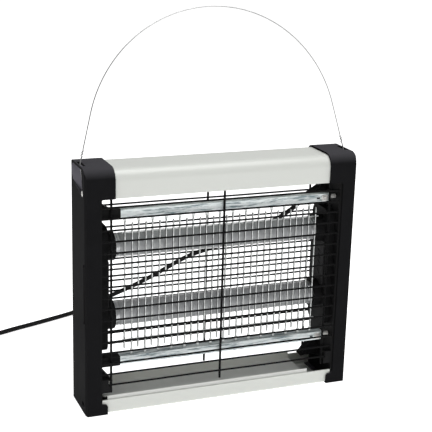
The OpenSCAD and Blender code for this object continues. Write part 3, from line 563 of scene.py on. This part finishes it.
def makeLamp(which):
    tubeLow, tubeHigh = boxOf(which + "_tube")
    capFace = boxOf(which + "_lamp_caps")[1].x
    _, y, z = middleOf(which + "_tube")
    r = (tubeHigh.z - tubeLow.z) / 2
    end = tubeHigh.x
    half = [(far - end, r - off) for far, off in lampSet["glassEnd"]]
    middle = [(x, r) for x in lampSet["glassMiddle"]]
    cap = [(end + far, r - off) for far, off in lampSet["capRim"]]
    cap += [(capFace - far, r - off) for far, off in lampSet["capEnd"]]
    glass, caps = Shape(), Shape()
    glass.lathe(half + middle + [(-x, q) for x, q in half[::-1]], (0, y, z), (1, 0, 0), 48)
    for side in (-1, 1):
        caps.lathe(cap, (0, y, z), (side, 0, 0), 48)
    body = "lamp_" + which
    tubeName, capsName = which + "LampTube", which + "LampCaps"
    piece(tubeName, glass.done(tubeName), "glass", body, "lamp_glass", which + "_tube")
    piece(capsName, caps.done(capsName), "lampCap", body, "lamp_cap", which + "_lamp_caps")


makeLamp("upper")
makeLamp("lower")
print("lamps made")


# hanging wire: eye round each screw, a short twist above each cap, then the arch
hangerSet = {"wire": 1.2, "eye": 2.25, "arch": 139, "rise": 14.5, "lean": 8, "slack": 0.1,
             "twistTurns": 3, "twistFrom": 5.6, "twistLong": 9, "twistWide": 0.9, "strand": 0.45,
             "archSteps": 120, "twistSteps": 60, "eyeSteps": 40,
             "legShares": (0, 0.33, 0.66), "footShares": (0, 0.5, 0.94)}


# the same points on the other side, in the opposite order
def mirrored(points):
    return [Vector((-p.x, p.y, p.z)) for p in points[::-1]]


def makeHanger():
    screw = middleOf("wire_screws")
    top = boxOf("right_cheek")[1].z
    x = boxOf("hanging_wire")[1].x - hangerSet["wire"] / 2 - hangerSet["slack"]
    r = hangerSet["wire"] / 2 - 0.01
    arch, rise, lean = hangerSet["arch"], hangerSet["rise"], math.radians(hangerSet["lean"])
    eyeR, strand = hangerSet["eye"], hangerSet["strand"]
    far = math.hypot(x, rise)
    slope = math.pi / 2 - math.asin(arch / far) - math.atan2(rise, x)
    leg = math.sqrt(far * far - arch * arch)

    # a point of the arch's plane, which leans back from the cheeks' top
    def tilt(px, pz):
        return Vector((px, pz * math.sin(lean), top + pz * math.cos(lean)))

    def onLeg(along):
        return tilt(x - along * math.sin(slope), along * math.cos(slope))

    bend = []
    for k in range(hangerSet["archSteps"] + 1):
        angle = slope + (math.pi - 2 * slope) * k / hangerSet["archSteps"]
        bend.append(tilt(arch * math.cos(angle), rise + arch * math.sin(angle)))
    foot = Vector((x, screw.y, screw.z))
    climb = Vector((x, 0, top)) - foot
    ahead = climb.normalized()
    start = [foot + ahead * (eyeR + (climb.length - eyeR) * t) for t in hangerSet["footShares"]]
    start += [onLeg(leg * t) for t in hangerSet["legShares"]]
    shape = Shape()
    shape.tube(start + bend + mirrored(start), r, 12)
    for side in (-1, 1):
        angles = [math.tau * k / hangerSet["eyeSteps"] for k in range(hangerSet["eyeSteps"] + 1)]
        eye = [(side * x, screw.y + eyeR * math.cos(a), screw.z + eyeR * math.sin(a)) for a in angles]
        shape.tube(eye, r, 12)
        twist = []
        for k in range(hangerSet["twistSteps"] + 1):
            t = k / hangerSet["twistSteps"]
            spot = onLeg(hangerSet["twistFrom"] + hangerSet["twistLong"] * t)
            angle = math.tau * hangerSet["twistTurns"] * t
            wide = (r + strand * hangerSet["twistWide"]) * min(1, t * 8, (1 - t) * 8)
            at = spot + Vector((wide * math.cos(angle), wide * math.sin(angle), 0))
            twist.append((side * at.x, at.y, at.z))
        shape.tube(twist, strand, 8)
    piece("hangerWire", shape.done("hangerWire"), "spring", "bail", "spring_wire", "hanging_wire")


makeHanger()
print("hanger made")


# strain relief: a collar clamped through the cheek's back, then tapering ribs; a collar's pair is a
# distance past the cheek's back and a radius, a rib's pair a share of its pitch and what is off the radius
reliefSet = {
    "collar": [(-4.4, 5.4), (-2.2, 5.4), (-2.1, 4.3), (-0.1, 4.3), (0, 5.7), (0.6, 6.0), (2.6, 6.0),
               (3.2, 5.7)],
    "ribs": 7, "plain": 4, "from": 3.2, "wide": 5.7, "taper": 1.9,
    "rib": [(0.08, 0.75), (0.42, 0.8), (0.5, 0.15), (0.95, 0.3)],
    "tip": [(0.5, 3.5), (0, 3.1)],
}


def makeStrainRelief():
    x, _, z = middleOf("strain_relief")
    back = boxOf("right_cheek")[1].y
    reach = boxOf("strain_relief")[1].y - back
    step = (reach - reliefSet["plain"]) / reliefSet["ribs"]
    profile = list(reliefSet["collar"])
    for k in range(reliefSet["ribs"]):
        at = reliefSet["from"] + k * step
        r = reliefSet["wide"] - reliefSet["taper"] * k / reliefSet["ribs"]
        profile += [(at + step * share, r - off) for share, off in reliefSet["rib"]]
    profile += [(reach - far, r) for far, r in reliefSet["tip"]]
    shape = Shape()
    shape.lathe(profile, (x, back, z), (0, 1, 0), 36)
    piece("strainRelief", shape.done("strainRelief", 30), "cord", "housing", "cord_black", "strain_relief")


# plug: a share of its length, then its width and height there as shares of the whole
plugSet = {
    "sides": 40, "corner": 0.42,
    "stations": [(0, 0.88, 0.86), (0.03, 0.97, 0.96), (0.09, 1, 1), (0.36, 1, 1), (0.42, 0.95, 0.96),
                 (0.46, 0.95, 0.96), (0.52, 0.96, 0.97), (0.7, 0.72, 0.84), (0.84, 0.5, 0.66),
                 (0.9, 0.42, 0.6), (0.97, 0.38, 0.56), (1, 0.32, 0.5)],
}


# cosine or sine with its curve pushed out, which squares a ring off
def squared(value):
    return math.copysign(abs(value) ** plugSet["corner"], value)


def makePlug():
    low, high = boxOf("plug_body")
    x, _, z = middleOf("plug_body")
    halfWide, far, halfTall = (high.x - low.x) / 2, high.y - low.y, (high.z - low.z) / 2
    angles = [math.tau * k / plugSet["sides"] for k in range(plugSet["sides"])]
    rings = []
    for t, wide, tall in plugSet["stations"]:
        rings.append([(x + halfWide * wide * squared(math.cos(a)), low.y + far * t,
                       z + halfTall * tall * squared(math.sin(a))) for a in angles])
    shape = Shape()
    shape.rings(rings)
    piece("plugBody", shape.done("plugBody", 45), "cord", "housing", "cord_black", "plug_body")


makeStrainRelief()
makePlug()
print("fittings made")


# the camera looks down from the left
view = {"at": (-0.42543, -1.0708, 0.53126), "turn": 21.685, "down": 16.132, "roll": 1.588, "lens": 94.115}


def aimCamera():
    turn, down, roll = (math.radians(view[k]) for k in ("turn", "down", "roll"))
    ahead = Vector((math.sin(turn) * math.cos(down), math.cos(turn) * math.cos(down), -math.sin(down)))
    side = Vector((math.cos(turn), -math.sin(turn), 0))
    up = side.cross(ahead)
    right = side * math.cos(roll) + up * math.sin(roll)
    top = up * math.cos(roll) - side * math.sin(roll)
    data = bpy.data.cameras.new("camera")
    data.lens = view["lens"]
    data.sensor_width = 36
    data.clip_end = 50
    eye = bpy.data.objects.new("camera", data)
    scene.collection.objects.link(eye)
    turned = Matrix((right, top, -ahead)).transposed().to_4x4()
    eye.matrix_world = Matrix.Translation(view["at"]) @ turned
    scene.camera = eye


aimCamera()
print("camera set")


# the mains cord: out behind the right cheek, round to the left and into a coil
cordSet = {
    "diameter": 5.5,
    "start": (142.25, 53, 196),
    "route": [(142.25, 56, 196), (142, 61, 195), (142, 70, 192), (141, 79, 186), (138, 86, 178),
              (132, 95, 168), (123, 107, 156), (112, 122, 143), (99, 137, 130), (85, 150, 119),
              (71, 162, 110), (58, 173, 102), (45, 184, 94), (32, 195, 84), (19, 206, 72), (6, 217, 60),
              (-8, 227, 49), (-22, 238, 38), (-37, 248, 28), (-52, 255, 19), (-67, 258.8, 11),
              (-84, 259.7, 5), (-103, 255, 3), (-125, 246, 3), (-148, 237, 3), (-170, 229, 3),
              (-192, 220, 3), (-212, 213, 3), (-231, 209, 3)],
    "coilAt": (-250, 176),
    "startAngle": 90,
    "turns": 4.25,
    "steps": 24,
    "stages": [(-1, 32.75, 3.75), (1.0, 27.25, 3.75), (1.7, 27.25, 9.25), (2.4, 32.75, 9.25),
               (3.1, 30, 14)],
    "change": 0.3,
    "tail": [(-280, 168, 14), (-280, 156, 14), (-280, 145, 12), (-280, 134, 9), (-280, 123, 7),
             (-280, 112, 6.85)],
}


# the coil's middle line: each stage eases to the next radius and height
def coilPoint(turn):
    _, r, z = cordSet["stages"][0]
    for middle, nextR, nextZ in cordSet["stages"][1:]:
        t = min(max((turn - middle) / cordSet["change"] + 0.5, 0), 1)
        t = t * t * (3 - 2 * t)
        r += (nextR - r) * t
        z += (nextZ - z) * t
    angle = math.radians(cordSet["startAngle"] + 360 * turn)
    x, y = cordSet["coilAt"]
    return (x + r * math.cos(angle), y + r * math.sin(angle), z)


# a smooth curve through all the points
def smoothLine(points, steps):
    points = [Vector(p) for p in points]
    line = []
    for i in range(len(points) - 1):
        a, b = points[max(i - 1, 0)], points[i]
        c, d = points[i + 1], points[min(i + 2, len(points) - 1)]
        for k in range(steps):
            t = k / steps
            line.append(0.5 * (2 * b + (c - a) * t + (2 * a - 5 * b + 4 * c - d) * t * t
                               + (3 * b - a - 3 * c + d) * t ** 3))
    return line + [points[-1]]


def makeCord():
    count = int(cordSet["turns"] * cordSet["steps"])
    coil = [coilPoint(k / cordSet["steps"]) for k in range(count + 1)]
    knots = [cordSet["start"], *cordSet["route"], *coil, *cordSet["tail"]]
    line = [p * mm for p in smoothLine(knots, 4)]
    length = sum((b - a).length for a, b in zip(line, line[1:]))
    print("cord length", round(length, 4))
    curve = bpy.data.curves.new("mainsCord", "CURVE")
    curve.dimensions = "3D"
    curve.bevel_depth = cordSet["diameter"] * mm / 2
    curve.bevel_resolution = 3
    curve.use_fill_caps = True
    spline = curve.splines.new("POLY")
    spline.points.add(len(line) - 1)
    for point, at in zip(spline.points, line):
        point.co = (*at, 1)
    spline.use_smooth = True
    return piece("mainsCord", curve, "cord", "housing", "cord_black", "cord", "cord_coil"), length


mainsCord, cordLength = makeCord()


stageSet = {"floor": 9, "below": 0.0002, "glow": 0.8}


def makeStage():
    mesh = bpy.data.meshes.new("floor")
    far = stageSet["floor"]
    mesh.from_pydata([(-far, -far, 0), (far, -far, 0), (far, far, 0), (-far, far, 0)], [], [(0, 1, 2, 3)])
    floor = bpy.data.objects.new("floor", mesh)
    scene.collection.objects.link(floor)
    floor.location.z = -stageSet["below"]
    look = Look("paleFloor")
    paper = look.noise(2, 2)
    mesh.materials.append(look.surface(
        baseColor=look.mix(paper, (0.93, 0.93, 0.93), (0.95, 0.95, 0.95)), roughness=0.9,
        emissionColor=(1, 1, 1), emissionStrength=stageSet["glow"]))


room = {"left": 0.05, "right": 0.42, "top": 31, "front": 0.8}


def softBox(name, at, to, size, power):
    data = bpy.data.lights.new(name, "AREA")
    data.shape = "RECTANGLE"
    data.size, data.size_y = size
    data.energy = power
    lamp = bpy.data.objects.new(name, data)
    lamp.location = at
    lamp.rotation_euler = (Vector(to) - Vector(at)).to_track_quat("-Z", "Y").to_euler()
    scene.collection.objects.link(lamp)


def makeLight():
    world = bpy.data.worlds.new("softRoom")
    world.use_nodes = True
    nodes, links = world.node_tree.nodes, world.node_tree.links
    # the room is darker on the left, which shades that side of every wire
    spot = nodes.new("ShaderNodeTexCoord")
    parts = nodes.new("ShaderNodeSeparateXYZ")
    fade = nodes.new("ShaderNodeMapRange")
    span = {"From Min": -1, "From Max": 0.6, "To Min": room["left"], "To Max": room["right"]}
    for label, value in span.items():
        fade.inputs[label].default_value = value
    links.new(spot.outputs["Generated"], parts.inputs["Vector"])
    links.new(parts.outputs["X"], fade.inputs["Value"])
    links.new(fade.outputs["Result"], nodes["Background"].inputs["Strength"])
    nodes["Background"].inputs["Color"].default_value = (1, 1, 1, 1)
    scene.world = world
    softBox("topLight", (0, -0.2, 1.9), (0, 0, 0.1), (1.8, 1.4), room["top"])
    softBox("frontLight", (0.3, -1.9, 1.0), (0, 0, 0.15), (0.9, 0.9), room["front"])
    scene.view_settings.view_transform = "Standard"


makeStage()
makeLight()
print("stage and light set")


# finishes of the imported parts, by material slot
finishes = {
    "black_cheek": "cheek", "black_inner": "inner", "white_sheet": "white", "grey_sheet": "tray",
    "black_wire": "dipped", "zinc": "zinc", "rods": "rod", "black_socket": "socket",
    "bright_screws": "screw", "brass": "brass", "white_rotor": "rotor", "lamp_glass": "glass",
    "lamp_cap": "lampCap", "vent_grey": "vent", "spring_wire": "spring", "ballast": "varnish",
    "transformer": "potted", "starter": "can", "board": "board", "capacitor": "capacitor",
    "terminal_plastic": "terminal", "wire_red": "lead", "cord_black": "cord", "tie_black": "tie",
    "nickel": "nickel",
}
edgeSet = {"segments": 2, "angle": 38, "dissolve": 0.8}
# width of the rounding on moulded edges and on sheet edges
softened = {"left_cheek": 0.45, "right_cheek": 0.45, "left_bracket": 0.35, "right_bracket": 0.35,
            "upper_insulator": 0.12, "lower_insulator": 0.12, "catch_tray": 0.2,
            "left_ballast": 0.4, "right_ballast": 0.4, "hv_transformer": 0.8, "terminal_block": 0.5,
            "cord_tie": 0.2}
for sub in frame["record"]["subparts"]:
    obj = frame["nodes"][sub["node"]]
    finish = looks[finishes[sub["material_slot"]]]
    for place in obj.material_slots:
        place.material = finish
    if sub["node"] in softened:
        flat = obj.modifiers.new("flatten", "DECIMATE")
        flat.decimate_type = "DISSOLVE"
        flat.angle_limit = math.radians(edgeSet["dissolve"])
        soft = obj.modifiers.new("soften", "BEVEL")
        soft.width = softened[sub["node"]] * mm
        soft.segments = edgeSet["segments"]
        soft.limit_method = "ANGLE"
        soft.angle_limit = math.radians(edgeSet["angle"])
        soft.harden_normals = False
print("packed parts finished")
